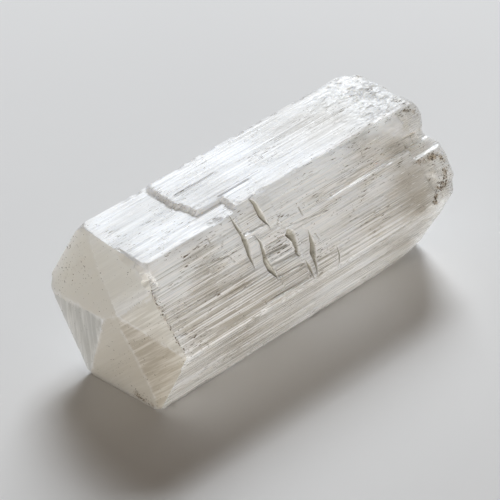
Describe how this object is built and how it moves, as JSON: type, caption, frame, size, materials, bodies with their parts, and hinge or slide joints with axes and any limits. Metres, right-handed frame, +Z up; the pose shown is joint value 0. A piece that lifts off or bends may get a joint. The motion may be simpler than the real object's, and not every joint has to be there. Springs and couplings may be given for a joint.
{
  "type": "selenite crystal",
  "caption": "Natural selenite (gypsum) crystal stick: a clear, striated hexagonal prism with a low faceted point at one end and a worn, broken end at the other.",
  "frame": {"origin": "bottom centre of the bounding box, on the surface that the crystal rests on", "axes": "+X along the stick from its pointed end to its broken end, +Z up from the side it rests on"},
  "size_m": [0.0768, 0.0386, 0.0347],
  "materials": {
    "selenite": "clear to silky white gypsum, finely striated along its length, with glassy end facets and brown specks"
  },
  "bodies": {
    "root": {"selenite_crystal": "selenite"}
  },
  "joints": []
}
